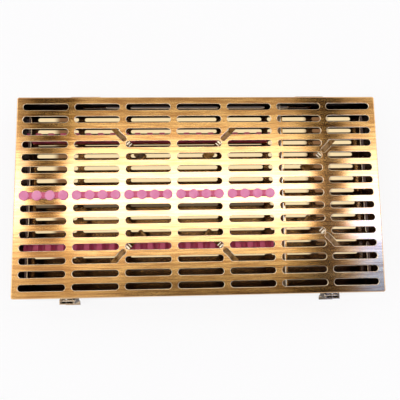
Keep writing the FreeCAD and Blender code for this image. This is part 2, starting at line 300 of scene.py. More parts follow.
siliconeFinish = {
    "colour": (0.74, 0.20, 0.365, 1),
    "paleColour": (0.78, 0.28, 0.43, 1),
    "deepColour": (0.60, 0.072, 0.14, 1),   # painted shade where it lies low, between the buttons and in the rails
    "cloud": (130.0, 3.0, 0.55),            # scale, detail and roughness
    "pores": (2600.0, 2.0, 0.5),
    "cloudRange": (0.35, 0.65),
    "roughRange": (0.3, 0.7),
    "roughness": (0.42, 0.56),
    "glow": 0.12,                           # share of light that passes under the skin
    "glowReach": (0.004, 0.0015, 0.002),
    "shine": 0.45,
    "bump": (0.12, 0.00005),                # strength and height
}


def makeSilicone(name, allInPaintedShade):
    s = siliconeFinish
    material, tree, shader = newMaterial(name)
    cloud = cloudNoise(tree, *s["cloud"])
    tone = mixColours(tree, ramp(tree, cloud, *s["cloudRange"]), s["colour"], s["paleColour"])
    # painted shade: the deep colour where the point's share says so, and over the whole of a rail
    low = sums(tree, "MAXIMUM", wearAndPaintedLightOf(tree), 1.0 if allInPaintedShade else 0.0)
    tree.links.new(mixColours(tree, low, tone, s["deepColour"]), shader.inputs["Base Color"])
    tree.links.new(ramp(tree, cloud, *s["roughRange"], *s["roughness"]), shader.inputs["Roughness"])
    shader.inputs["Subsurface Weight"].default_value = s["glow"]
    shader.inputs["Subsurface Radius"].default_value = s["glowReach"]
    shader.inputs["Subsurface Scale"].default_value = 1.0
    shader.inputs["Specular IOR Level"].default_value = s["shine"]
    addBump(tree, shader, cloudNoise(tree, *s["pores"]), *s["bump"])
    return material


pinkSilicone = makeSilicone("pinkSilicone", False)
railSilicone = makeSilicone("railSilicone", True)
print("finishes made")


# meshes are gathered point by point, each point with its own normal

def newPile():
    return {"points": [], "normals": [], "wear": [], "faces": [], "known": {}}


def addPoint(pile, place, normal, wear=0.0):
    normal = Vector(normal).normalized()
    key = tuple(round(v, 4) for v in place) + tuple(round(v, 1) for v in normal)
    if key not in pile["known"]:
        pile["known"][key] = len(pile["points"])
        pile["points"].append(Vector(place))
        pile["normals"].append(normal)
        pile["wear"].append(wear)
    return pile["known"][key]


def addFace(pile, corners):
    ids = []
    for i in corners:
        if i not in ids:
            ids.append(i)
    if len(ids) < 3:
        return
    flat, facing = Vector(), Vector()
    for i, j in zip(ids, ids[1:] + ids[:1]):
        flat += pile["points"][i].cross(pile["points"][j])
        facing += pile["normals"][i]
    pile["faces"].append(ids if flat.dot(facing) >= 0 else ids[::-1])


def stitchRows(pile, rows):
    # closed rows, one after another
    for rowA, rowB in zip(rows, rows[1:]):
        for i in range(len(rowA)):
            j = (i + 1) % len(rowA)
            addFace(pile, [rowA[i], rowA[j], rowB[j], rowB[i]])


def linkMesh(name, mesh, body, material, standsFor):
    piece = bpy.data.objects.new(name, mesh)
    bpy.context.scene.collection.objects.link(piece)
    mesh.materials.clear()
    mesh.materials.append(material)
    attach(piece, body)
    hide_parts(*standsFor)
    return piece


roundedFrom = 32   # degrees between two faces whose edge is rounded


def softEdges(piece, width, segments):
    piece.data.polygons.foreach_set("use_smooth", [True] * len(piece.data.polygons))
    soften = piece.modifiers.new("softEdges", "BEVEL")
    soften.width = width * mm
    soften.segments = segments
    soften.limit_method = "ANGLE"
    soften.angle_limit = math.radians(roundedFrom)
    soften.harden_normals = True


def mapGrain(mesh):
    # the grain runs along X, and on the end walls along Y
    grain = mesh.uv_layers.new(name="grainMap")
    spots = []
    for face in mesh.polygons:
        n = face.normal
        for corner in face.loop_indices:
            p = mesh.vertices[mesh.loops[corner].vertex_index].co
            spots += (p.y, p.z) if abs(n.x) > 0.71 else (p.x, p.y + p.z)
    grain.data.foreach_set("uv", spots)


def pileToPiece(pile, name, body, material, standsFor, turn=Matrix()):
    mesh = bpy.data.meshes.new(name)
    mesh.from_pydata([toFrame @ turn @ p for p in pile["points"]], [], pile["faces"])
    mesh.polygons.foreach_set("use_smooth", [True] * len(mesh.polygons))
    spin = turn.to_3x3()
    mesh.normals_split_custom_set_from_vertices([(spin @ n).normalized() for n in pile["normals"]])
    wear = mesh.attributes.new("edgeWearAndPaintedLight", "FLOAT", "POINT")
    wear.data.foreach_set("value", pile["wear"])
    mapGrain(mesh)
    return linkMesh(name, mesh, body, material, standsFor)


wearAndHighlightShare = {   # how pale each edge and bend is painted, for rubbed wear and a painted highlight
    "bend": 0.25,
    "wallRim": 0.8,
    "slotRim": 1.0,
    "slotBack": 0.4,
}
panSteps = {    # faces in each rounding
    "corner": 4,
    "bend": 5,
    "slotRim": 3,
}
longestRim = 1.6   # keeps the rim of a hole from spiking where its edge turns sharply


def slotLoop(x, y, length, width, sides, turn=0.0):
    reach, radius = (length - width) / 2, width / 2
    loop = []
    for side in (1, -1):
        for i in range(sides + 1):
            a = math.radians(-90 + 180 * i / sides)
            loop.append(Vector((side * (reach + radius * math.cos(a)), side * radius * math.sin(a))))
    spin = Matrix.Rotation(math.radians(turn), 2)
    return [spin @ p + Vector((x, y)) for p in loop]


def slotGrid(s, shift=(0, 0)):
    holes = []
    for c in range(s["slotColumns"]):
        for r in range(s["slotRows"]):
            x = (c - (s["slotColumns"] - 1) / 2) * s["columnPitch"] + shift[0]
            y = ((s["slotRows"] - 1) / 2 - r) * s["rowPitch"] + shift[1]
            holes.append(slotLoop(x, y, s["slotLength"], s["slotWidth"], s["slotSides"]))
    return holes


def holedPanel(pile, place, aim, outline, innerOutline, holes, thickness, rim):
    # place(u, v, depth) gives a point and aim(u, v, up) a direction; depth 0 is the outer face
    flat = [Vector(p) for p in outline]
    loops = [list(range(len(flat)))]
    for hole in holes:
        loops.append(list(range(len(flat), len(flat) + len(hole))))
        flat += hole
    found, _, faces, origins, _, sources = delaunay_2d_cdt(flat, [], loops, 1, 1e-4)
    kept = [f for f, source in zip(faces, sources) if list(source) == [0]]
    rimIndex = {i: old for i, olds in enumerate(origins) for old in olds if old < len(outline)}
    used = {}
    for f in kept:
        for a, b in zip(f, f[1:] + f[:1]):
            used[(a, b)] = True
    edges = [(a, b) for a, b in used if (b, a) not in used and not (a in rimIndex and b in rimIndex)]
    towards = {}
    for a, b in edges:   # the sheet lies to the left of the edge, the hole to the right
        d = (found[b] - found[a]).normalized()
        for i in (a, b):
            towards.setdefault(i, []).append(Vector((d.y, -d.x)))
    inward = {}
    for i, ways in towards.items():
        mean = sum(ways, Vector((0, 0)))
        mean = mean.normalized() if mean.length > 1e-6 else ways[0]
        inward[i] = (mean, min(longestRim, 1 / max(0.5, mean.dot(ways[0]))))
    steps = panSteps["slotRim"]
    turns = [(1, k) for k in range(steps + 1)] + [(-1, k) for k in range(steps, -1, -1)]
    rows = {}
    for i, (h, reach) in inward.items():   # over the outer rim of each hole, then over the inner one
        rows[i] = []
        for side, k in turns:
            a = math.radians(90 * k / steps)
            q = found[i] - h * reach * rim * (1 - math.sin(a))
            n = aim(h.x * math.sin(a), h.y * math.sin(a), side * math.cos(a))
            drop = rim * (1 - math.cos(a))
            wear = wearAndHighlightShare["slotRim" if side > 0 else "slotBack"] if k else 0.0
            rows[i].append(addPoint(pile, place(q.x, q.y, drop if side > 0 else thickness - drop), n, wear))
    for a, b in edges:
        for k in range(len(rows[a]) - 1):
            addFace(pile, [rows[a][k], rows[b][k], rows[b][k + 1], rows[a][k + 1]])
    outer, inner = {}, {}
    for i, p in enumerate(found):
        if i in rows:
            outer[i], inner[i] = rows[i][0], rows[i][-1]
        else:
            q = Vector(innerOutline[rimIndex[i]]) if i in rimIndex else p
            outer[i] = addPoint(pile, place(p.x, p.y, 0), aim(0, 0, 1))
            inner[i] = addPoint(pile, place(q.x, q.y, thickness), aim(0, 0, -1))
    for f in kept:
        addFace(pile, [outer[i] for i in f])
        addFace(pile, [inner[i] for i in f])


def panProfile(z0, z1, sheet, bend, rim):
    # from the flat face over the bend, down the wall, round its edge and back up inside;
    # each row is inset, height, the normal's way out and up, and the share of wear and painted highlight
    turns = [math.radians(90 * k / panSteps["bend"]) for k in range(panSteps["bend"] + 1)]
    fewer = turns[::2]
    rimWearAndHighlight = wearAndHighlightShare["wallRim"]
    # painted highlight with rubbed wear over the middle of the bend and on the wall's rim
    rows = [(bend - bend * math.sin(a), z1 - bend + bend * math.cos(a), math.sin(a), math.cos(a),
             wearAndHighlightShare["bend"] * math.sin(2 * a)) for a in turns]
    outerWall = len(rows) - 1
    rows += [(rim - rim * math.cos(a), z0 + rim - rim * math.sin(a), math.cos(a), -math.sin(a), rimWearAndHighlight)
             for a in fewer]
    rows += [(sheet - rim + rim * math.sin(a), z0 + rim - rim * math.cos(a), -math.sin(a), -math.cos(a), rimWearAndHighlight)
             for a in fewer + turns[-1:]]
    innerWall = len(rows) - 1
    small = bend - sheet
    rows += [(bend - small * math.cos(a), z1 - bend + small * math.sin(a), -math.cos(a), -math.sin(a), 0.0)
             for a in fewer + turns[-1:]]
    return rows, outerWall, innerWall


def perforatedPan(values, flatHoles, wallHoles, openBelow):
    # wallHoles: "front", "rear", "left" and "right" lists of loops in (along the wall, height)
    pile = newPile()
    halfX, halfY = values["width"] / 2, values["depth"] / 2
    corner, sheet, rim = values["corner"], values["sheet"], values["rim"]
    z0, z1 = values["bottom"], values["top"]
    profile, outerWall, innerWall = panProfile(z0, z1, sheet, values["bend"], rim)
    if not openBelow:
        profile = [(s, z0 + z1 - z, ns, -nz, wear) for s, z, ns, nz, wear in profile]
    corners = {"right": (1, -1, -90), "rear": (1, 1, 0), "left": (-1, 1, 90), "front": (-1, -1, 180)}
    columns, sides = [], {}
    for side, (cx, cy, start) in corners.items():   # each corner, and the wall that comes after it
        for k in range(panSteps["corner"] + 1):
            a = math.radians(start + 90 * k / panSteps["corner"])
            columns.append((cx * (halfX - corner), cy * (halfY - corner), math.cos(a), math.sin(a)))
        sides[len(columns) - 1] = side

    def onCorner(column, inset):
        cx, cy, dx, dy = column
        return cx + dx * (corner - inset), cy + dy * (corner - inset)

    grid = []
    for column in columns:
        dx, dy = column[2:]
        grid.append([addPoint(pile, (*onCorner(column, s), z), (dx * ns, dy * ns, nz), wear)
                     for s, z, ns, nz, wear in profile])
    for i in range(len(columns)):
        j = (i + 1) % len(columns)
        holes = wallHoles.get(sides.get(i), [])
        for k in range(len(profile) - 1):
            if not (holes and k in (outerWall, innerWall)):
                addFace(pile, [grid[i][k], grid[j][k], grid[j][k + 1], grid[i][k + 1]])
        if holes:
            low, high = sorted((profile[outerWall][1], profile[outerWall + 1][1]))
            side = sides[i]
            across = side in ("front", "rear")
            sign = 1 if side in ("rear", "right") else -1
            reach = (halfX if across else halfY) - corner
            wall = halfY if across else halfX
            if across:
                place = lambda u, v, w: (u, sign * (wall - w), v)
                aim = lambda u, v, up: (u, sign * up, v)
            else:
                place = lambda u, v, w: (sign * (wall - w), u, v)
                aim = lambda u, v, up: (sign * up, u, v)
            outline = [(-reach, low), (reach, low), (reach, high), (-reach, high)]
            holedPanel(pile, place, aim, outline, outline, holes, sheet, rim)
    flatZ, down = (z1, 1) if openBelow else (z0, -1)
    outline = [onCorner(column, profile[0][0]) for column in columns]
    innerOutline = [onCorner(column, profile[-1][0]) for column in columns]
    holedPanel(pile, lambda u, v, w: (u, v, flatZ - down * w), lambda u, v, up: (u, v, down * up),
               outline, innerOutline, flatHoles, sheet, rim)
    return pile


lidShape = {
    "width": (lidHigh.x - lidLow.x) / mm,
    "depth": (lidHigh.y - lidLow.y) / mm,
    "bottom": lidLow.z / mm,
    "top": lidHigh.z / mm,
    "sheet": 0.9,
    "corner": 2.2,
    "bend": 1.6,
    "rim": 0.42,            # rounding of every cut edge
    "slotColumns": 7,
    "slotRows": 15,
    "slotLength": 43.0,
    "slotWidth": 6.1,
    "columnPitch": 49.0,
    "rowPitch": 12.193,
    "slotSides": 10,
}
clipShape = {
    "windowLength": 12.6,
    "windowWidth": 5.0,
    "width": 4.4,
    "sheet": 0.7,
    "edge": 0.18,           # rounding of the strap's edges
    "foot": 6.0,
    "sink": 0.35,
    "rise": 1.1,
    "lidGap": 0.2,
    "bridge": 2.2,
    "ridges": 2,
    "ridgePitch": 2.4,
    "ridgeHeight": 0.9,
    "ridgeShine": (0.1, 0.45),      # painted highlight on the ridges: from how low, and over what height
    "ridgeShineEnds": (0.3, 0.8),
    "armRun": 6.0,
    "armDrop": 5.2,
    "paddleWidth": 9.0,
    "paddleLength": 8.0,
    "paddleDrop": 3.6,
    "paddleSpread": (1.6, 2.4),     # how far before the elbow it starts to widen, and over what length
    "tip": (1.4, 0.7),
    "endRound": (1.2, 0.7),
    "grooves": 9,           # cross grooves that show in the window
    "groove": 0.26,         # their depth
    "windowShine": 0.07,
    "crest": 0.10,
    "spots": [(-75.0, 56.37, -45), (-75.0, -56.37, 45), (26.0, 56.37, -135),
              (26.0, -56.37, 135), (124.0, 44.18, -135), (124.0, -44.18, 135)],
}


def makeLidShell():
    holes = slotGrid(lidShape)
    for x, y, turn in clipShape["spots"]:
        holes.append(slotLoop(x, y, clipShape["windowLength"], clipShape["windowWidth"], lidShape["slotSides"], turn))
    pile = perforatedPan(lidShape, holes, {}, True)
    pileToPiece(pile, "lidShell", "lid", brushedGold, ["lid_shell"])


makeLidShell()
print("lid made")


trayLow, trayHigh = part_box("base_tray")
trayShape = {
    "width": (trayHigh.x - trayLow.x) / mm,
    "depth": (trayHigh.y - trayLow.y) / mm,
    "bottom": trayLow.z / mm,
    "top": trayHigh.z / mm,
    "sheet": 0.9,
    "corner": 2.2,
    "bend": 1.6,
    "rim": 0.26,
    "slotColumns": 7,
    "slotRows": 14,
    "slotLength": 42.5,
    "slotWidth": 4.0,
    "columnPitch": 48.5,
    "rowPitch": 12.969,
    "slotShift": (-1.5, -1.2),
    "slotSides": 8,
    "wallSlots": 5,         # in the front and the rear wall
    "wallSlotLength": 43.0,
    "wallSlotPitch": 49.0,
    "wallSlotMiddle": 7.65,
    "wallSlotWidth": 6.1,
    "sideSlots": 4,
    "sideSlotWeb": 9.0,
    "sideMargin": 10.0,
}


def wallRow(count, pitch, length):
    s = trayShape
    return [slotLoop((i - (count - 1) / 2) * pitch, s["wallSlotMiddle"], length, s["wallSlotWidth"], s["slotSides"])
            for i in range(count)]


def makeTrayShell():
    s = trayShape
    long = wallRow(s["wallSlots"], s["wallSlotPitch"], s["wallSlotLength"])
    length = (s["depth"] - 2 * s["sideMargin"] - (s["sideSlots"] - 1) * s["sideSlotWeb"]) / s["sideSlots"]
    short = wallRow(s["sideSlots"], length + s["sideSlotWeb"], length)
    walls = {"front": long, "rear": long, "left": short, "right": short}
    pile = perforatedPan(s, slotGrid(s, s["slotShift"]), walls, False)
    pileToPiece(pile, "trayShell", "base", trayGold, ["base_tray"])


makeTrayShell()
print("tray made")


def smoothPath(points, rounds):
    # corners cut twice over give the soft bends of a pressed strap
    for _ in range(rounds):
        softer = [points[0]]
        for a, b in zip(points, points[1:]):
            softer += [a.lerp(b, 0.25), a.lerp(b, 0.75)]
        points = softer + [points[-1]]
    return points


def strapLine():
    # the strap seen from its side: points, and where its window part, bridge and elbow begin
    s = clipShape
    under = lidShape["top"] - lidShape["sheet"]
    level = lidShape["top"] - s["sink"]
    flat = (s["windowLength"] - s["windowWidth"]) / 2
    low = under - s["lidGap"]
    start = s["windowLength"] / 2 + s["bridge"]
    path = [(-s["windowLength"] / 2 - s["foot"], under), (-flat - s["rise"], under), (-flat, level)]
    bends = s["grooves"] * 2
    path += [(-flat + 2 * flat * i / bends, level - (s["groove"] if i % 2 else 0)) for i in range(1, bends)]
    path += [(flat, level), (flat + s["rise"], low), (start, low)]
    for i in range(s["ridges"]):
        path += [(start + (i + 0.5) * s["ridgePitch"], low + s["ridgeHeight"]),
                 (start + (i + 1) * s["ridgePitch"], low - s["ridgeHeight"])]
    elbow = (path[-1][0] + s["armRun"], path[-1][1] - s["armDrop"])
    tip = (elbow[0] + s["paddleLength"], elbow[1] - s["paddleDrop"])
    path += [elbow, tip, (tip[0] + s["tip"][0], tip[1] + s["tip"][1])]
    return smoothPath([Vector(p) for p in path], 2), flat, level, start, low, elbow[0]


def between(value):
    return min(1.0, max(0.0, value))


def makeStrapPile():
    s = clipShape
    line, flat, level, start, low, elbow = strapLine()
    pile = newPile()
    rows = []
    for i, p in enumerate(line):
        d = (line[min(i + 1, len(line) - 1)] - line[max(i - 1, 0)]).normalized()
        up = Vector((-d.y, d.x))
        spread = between((p.x - elbow + s["paddleSpread"][0]) / s["paddleSpread"][1])
        spread = spread * spread * (3 - 2 * spread)
        half = (s["width"] + (s["paddleWidth"] - s["width"]) * spread) / 2
        end = min(line[-1].x - p.x, p.x - line[0].x)
        half -= max(0.0, s["endRound"][0] - end) ** 2 * s["endRound"][1]
        # painted highlight on the ridge crests, and a faint one along the top of the strap in the window
        before, after = s["ridgeShineEnds"]
        ridge = start - before < p.x < start + s["ridges"] * s["ridgePitch"] + after
        paintedHighlight = between((p.y - low + s["ridgeShine"][0]) / s["ridgeShine"][1]) if ridge else 0.0
        if abs(p.x) < flat and p.y > level - s["crest"]:
            paintedHighlight = s["windowShine"]
        row = []
        for side, top in ((1, 1), (-1, 1), (-1, -1), (1, -1)):
            for k in range(3):
                a = math.radians(45 * k if side == top else 90 - 45 * k)
                out, rise = math.cos(a), math.sin(a)
                across = side * (half - s["edge"] + s["edge"] * out)
                depth = -s["edge"] + s["edge"] * rise
                q = p + up * (depth if top > 0 else -s["sheet"] - depth)
                n = Vector((up.x * rise * top, side * out, up.y * rise * top))
                row.append(addPoint(pile, (q.x, across, q.y), n, paintedHighlight))
        rows.append(row)
    stitchRows(pile, rows)
    addFace(pile, rows[0])
    addFace(pile, rows[-1])
    return pile


def makeClips():
    pile = makeStrapPile()
    for number, (x, y, turn) in enumerate(clipShape["spots"], 1):
        turnTo = Matrix.Translation((x, y, 0)) @ Matrix.Rotation(math.radians(turn), 4, "Z")
        pileToPiece(pile, "springClip%d" % number, "lid", strapSteel,
                    ["spring_clip_%d" % number], turnTo)


makeClips()
print("clips made")


stripShape = {
    "width": 8.6,
    "height": 5.6,
    "edge": 0.5,
    "scallopDepth": 2.6,
    "scallopEdge": 1.0,
    "scallopSides": 8,
    "stemGap": 0.1,
    "stemReach": 18.4,      # half the straight part of what fills a slot
    "stemFoot": 0.5,
    "bridgeRise": 0.6,
    # inset, height over the crown, and the normal's way out and up
    "bridgeRows": [(0, -0.55, 1, 0), (0.15, -0.2, 0.8, 0.6), (0.5, 0, 0.35, 0.95),
                   (1.4, 0.05, 0.05, 1), (2.6, 0.06, 0, 1)],
    "bridgeShade": 0.8,
    "buttonRadius": 4.7,
    "buttonHeight": 1.7,
    "buttonEdge": 0.85,     # rounding of the button's edge
    "buttonFoot": [(0.25, 0.02, 0.8, -0.6), (0, 0.25, 1, 0)],
    "buttonBend": 5,
    "buttonTurn": 0.92,
    "domeRise": 0.18,
    "domeRows": [(2.4, 0.07, 0.07, 1), (1.1, 0.01, 0.03, 1)],
    "buttonSides": 32,
    "columns": 5,
    "perSlot": 4,
    "headPitch": 12.133,
    "endReach": 23.5,       # strip's end from the middle of the last slot
}
railShape = {
    "notchWidth": 6.6,
    "notchDepth": 9.0,
    "notchSides": 12,
    "edge": 0.7,
}


def slotMiddles():
    middle = (lidShape["slotColumns"] - 1) // 2
    return [(c - middle) * lidShape["columnPitch"] for c in range(stripShape["columns"])]


def instrumentPlaces():
    s = stripShape
    return [x + (i - (s["perSlot"] - 1) / 2) * s["headPitch"] for x in slotMiddles() for i in range(s["perSlot"])]


def softBar(name, outline, y0, y1, edge, body, material, standsFor):
    # an outline in X and Z, down on the left and up on the right, drawn out along Y and rounded
    mesh = bpy.data.meshes.new(name)
    points = [toFrame @ Vector((x, y, z)) for y in (y0, y1) for x, z in outline]
    front = list(range(len(outline)))
    back = [i + len(outline) for i in front]
    faces = [front, back[::-1]]
    for i, j in zip(front, front[1:] + front[:1]):
        faces.append([i, back[i], back[j], j])
    mesh.from_pydata(points, [], faces)
    softEdges(linkMesh(name, mesh, body, material, standsFor), edge, 3)


def makeRails():
    r = railShape
    for name, node in (("railRear", "rail_rear"), ("railFront", "rail_front")):
        low, high = [toFrame.inverted() @ Vector(v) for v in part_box(node)]
        radius = r["notchWidth"] / 2
        bottom = high.z - r["notchDepth"] + radius
        outline = [(low.x, high.z), (low.x, low.z), (high.x, low.z), (high.x, high.z)]
        for x in reversed(instrumentPlaces()):
            outline.append((x + radius, high.z))
            for k in range(r["notchSides"] + 1):
                a = math.radians(-180 * k / r["notchSides"])
                outline.append((x + radius * math.cos(a), bottom + radius * math.sin(a)))
            outline.append((x - radius, high.z))
        softBar(name, outline, low.y, high.y, r["edge"], "base", railSilicone, [node])


def makeStrip():
    s = stripShape
    under = lidShape["top"] - lidShape["sheet"]
    z0 = under - s["height"]
    x0 = slotMiddles()[0] - s["endReach"]
    x1 = slotMiddles()[-1] + s["endReach"]
    half = s["headPitch"] / 2 - s["scallopEdge"]
    radius = (half ** 2 + s["scallopDepth"] ** 2) / (2 * s["scallopDepth"])
    sweep = math.asin(half / radius)
    outline = [(x0, under), (x0, z0)]
    for x in instrumentPlaces():
        for k in range(s["scallopSides"] + 1):
            a = math.pi / 2 + sweep - 2 * sweep * k / s["scallopSides"]
            outline.append((x + radius * math.cos(a), z0 + s["scallopDepth"] - radius + radius * math.sin(a)))
    outline += [(x1, z0), (x1, under)]
    softBar("holdDownStrip", outline, -s["width"] / 2, s["width"] / 2, s["edge"], "lid", pinkSilicone,
            ["holddown_strip"])


def addStems(pile):
    # what fills the slot between the buttons
    s = stripShape
    crown = lidShape["top"] + s["bridgeRise"]
    foot = lidShape["top"] - lidShape["sheet"] - s["stemFoot"]
    for x in slotMiddles():
        rows = []
        for inset, z, out, up in [(0, foot - crown, 1, 0)] + s["bridgeRows"]:
            g = s["stemGap"] + inset
            row = []
            for p in slotLoop(x, 0, lidShape["slotLength"] - 2 * g, lidShape["slotWidth"] - 2 * g,
                              lidShape["slotSides"]):
                nearest = Vector((x + max(-s["stemReach"], min(s["stemReach"], p.x - x)), 0))
                d = (p - nearest).normalized()
                row.append(addPoint(pile, (p.x, p.y, crown + z), (d.x * out, d.y * out, up), s["bridgeShade"]))
            rows.append(row)
        stitchRows(pile, rows)
        addFace(pile, rows[-1])


def addButtons(pile):
    s = stripShape
    r, h, e = s["buttonRadius"], s["buttonHeight"], s["buttonEdge"]
    profile = [(r - inset, z, out, up) for inset, z, out, up in s["buttonFoot"]]
    for k in range(s["buttonBend"] + 1):
        a = math.radians(90 * k / s["buttonBend"]) * s["buttonTurn"]
        profile.append((r - e + e * math.cos(a), h - s["domeRise"] - e + e * math.sin(a), math.cos(a), math.sin(a)))
    profile += [(radius, h - drop, out, up) for radius, drop, out, up in s["domeRows"]]
    turns = [2 * math.pi * k / s["buttonSides"] for k in range(s["buttonSides"])]
    for x in instrumentPlaces():
        rows = [[addPoint(pile, (x + radius * math.cos(a), radius * math.sin(a), lidShape["top"] + z),
                          (out * math.cos(a), out * math.sin(a), up)) for a in turns]
                for radius, z, out, up in profile]
        stitchRows(pile, rows)
        addFace(pile, rows[-1])


makeRails()
makeStrip()
pile = newPile()
addStems(pile)
addButtons(pile)
pileToPiece(pile, "stripButtons", "lid", pinkSilicone, ["holddown_strip"])
print("silicone made")


# small sheet parts keep the frame's shape, with rounded edges

smallParts = {
    "pieces": {   # body, and rounding of the edges
        "rail_channel_rear": ("base", 0.15),
        "rail_channel_front": ("base", 0.15),
        "divider": ("base", 0.2),
        "hinge_base_left": ("base", 0.18),
        "hinge_base_right": ("base", 0.18),
        "hinge_lid_left": ("lid", 0.18),
        "hinge_lid_right": ("lid", 0.18),
        "strike_left": ("base", 0.15),
        "strike_right": ("base", 0.15),
        "latch_bracket_left": ("lid", 0.15),
        "latch_bracket_right": ("lid", 0.15),
        "latch_left": ("latch_left", 0.3),
        "latch_right": ("latch_right", 0.3),
    },
    "pins": ["hinge_pin_left", "hinge_pin_right", "latch_pin_left", "latch_pin_right"],
    "dividerShine": 0.5,   # how much of its top edge gets a painted highlight
}


def softenedCopy(node, body, edge):
    shape = bmesh.new()
    shape.from_mesh(nodes[node].data)
    bmesh.ops.remove_doubles(shape, verts=shape.verts, dist=1e-6)
    bmesh.ops.dissolve_limit(shape, angle_limit=math.radians(1), verts=shape.verts, edges=shape.edges)
    bmesh.ops.recalc_face_normals(shape, faces=shape.faces)
    shape.verts.index_update()
    mesh = bpy.data.meshes.new(node + "Soft")
    mesh.from_pydata([v.co.copy() for v in shape.verts], [], [[v.index for v in f.verts] for f in shape.faces])
    shape.free()
    # painted highlight along the divider's top edge
    if node == "divider":
        shineFrom = max(v.co.z for v in mesh.vertices) - smallParts["dividerShine"] * mm
        shine = mesh.attributes.new("edgeWearAndPaintedLight", "FLOAT", "POINT")
        shine.data.foreach_set("value", [1.0 if v.co.z > shineFrom else 0.0 for v in mesh.vertices])
    mapGrain(mesh)
    words = node.split("_")
    name = words[0] + "".join(w.capitalize() for w in words[1:])
    finish = latchGold if "latch" in node else pressedGold
    softEdges(linkMesh(name, mesh, body, finish, [node]), edge, 2)


for node, (body, edge) in smallParts["pieces"].items():
    softenedCopy(node, body, edge)
for node in smallParts["pins"]:
    nodes[node].data.materials.clear()
    nodes[node].data.materials.append(pinSteel)
print("small parts made")


floorLook = {   # lengths here are in metres
    "colour": (0.86, 0.85, 0.84, 1),
    "cloudColour": (0.89, 0.88, 0.87, 1),
    "cloud": (8.0, 3.0, 0.5),
    "roughness": 0.9,
    "shine": 0.2,
    "size": 6.0,
    "drop": 0.0001,                       # under the foot of the part
    "footprint": (0.172, 0.092),          # half sizes of the painted shadow and painted light below the part
    "endStretch": 1.6,
    "fade": (0.018, 3.0),                 # width and power of the painted contact shadow's way out to white
    "glow": (0.97, 0.82),                 # under the part and away from it; the rest keeps the shadow
    "glowFade": (0.004, 0.02),
    # painted shadow of the part on the floor, seen through the slots
    "paintedShadowColour": (0.035, 0.012, 0.006, 1),
    "warmColour": (0.97, 0.76, 0.44, 1),  # light that the gold throws on the floor under the tray
    "warmFade": 0.001,
    "paintedBandReflectionColour": (0.24, 0.115, 0.045, 1),
    # painted reflection of the soft box's dark bands on the floor under the tray
    "leftGap": (-0.153, -0.145, -0.138, -0.130),
    "rightGap": (0.112, 0.120, 0.137, 0.143),
    "frontShade": (-0.072, -0.060, 0.03),
    "stripEnd": (0.072, 0.078),           # shade of the hold-down strip
    "stripMiddle": 0.0075,
    "stripHalf": (0.004, 0.006),
    "stripShade": 0.9,
}


def raysThatShow(tree):
    # rays that see the background itself: the camera's, and those that metal or glass sends on
    path = addNode(tree, "ShaderNodeLightPath")
    passedOn = sums(tree, "MAXIMUM", path.outputs["Is Glossy Ray"], path.outputs["Is Transmission Ray"])
    return path.outputs["Is Camera Ray"], passedOn


def addFloor():
    f = floorLook
    mesh = bpy.data.meshes.new("floor")
    h = f["size"] / 2
    mesh.from_pydata([(x, y, -f["drop"]) for x, y in ((-h, -h), (h, -h), (h, h), (-h, h))], [], [(0, 1, 2, 3)])
    floor = bpy.data.objects.new("floor", mesh)
    bpy.context.scene.collection.objects.link(floor)
    material, tree, shader = newMaterial("paleFloor")
    paper = cloudNoise(tree, *f["cloud"])
    tree.links.new(mixColours(tree, paper, f["colour"], f["cloudColour"]), shader.inputs["Base Color"])
    shader.inputs["Roughness"].default_value = f["roughness"]
    shader.inputs["Specular IOR Level"].default_value = f["shine"]

    x, y, _ = axes(tree, placeOf(tree))
    endways = sums(tree, "SUBTRACT", y, middleY)
    past = []
    for distance, half in zip((x, endways), f["footprint"]):
        past.append(sums(tree, "MAXIMUM", sums(tree, "SUBTRACT", sums(tree, "ABSOLUTE", distance), half), 0.0))
    past[1] = times(tree, past[1], f["endStretch"])
    away = sums(tree, "MULTIPLY_ADD", past[0], past[0], times(tree, past[1], past[1]))
    away = sums(tree, "SQRT", away)
    # painted contact shadow, fading out to white round the part's foot
    outside = sums(tree, "POWER", ramp(tree, away, 0.0, f["fade"][0]), f["fade"][1])

    # painted shadow, light and reflection under the tray, which show through the slots
    gaps = sums(tree, "ADD", band(tree, x, f["leftGap"]), band(tree, x, f["rightGap"]))
    tint = mixColours(tree, gaps, f["warmColour"], f["paintedBandReflectionColour"])
    besideStrip = sums(tree, "ABSOLUTE", sums(tree, "ADD", endways, f["stripMiddle"]))
    strip = times(tree, fade(tree, x, *f["stripEnd"]), fade(tree, besideStrip, *f["stripHalf"]))
    warm = lessen(tree, ramp(tree, y, *f["frontShade"]), strip, f["stripShade"])
    warm = times(tree, warm, fade(tree, away, 0.0, f["warmFade"]))
    under = mixColours(tree, warm, f["paintedShadowColour"], tint)

    glow = addNode(tree, "ShaderNodeEmission")
    glow.inputs["Strength"].default_value = 1.0
    tree.links.new(mixColours(tree, outside, under, (1, 1, 1, 1)), glow.inputs["Color"])
    seen, passedOn = raysThatShow(tree)
    shown = sums(tree, "MAXIMUM", seen, times(tree, passedOn, outside))
    blend = addNode(tree, "ShaderNodeMixShader")
    tree.links.new(times(tree, shown, ramp(tree, away, *f["glowFade"], *f["glow"])), blend.inputs[0])
    tree.links.new(shader.outputs[0], blend.inputs[1])
    tree.links.new(glow.outputs[0], blend.inputs[2])
    tree.links.new(blend.outputs[0], tree.nodes["Material Output"].inputs["Surface"])
    mesh.materials.append(material)


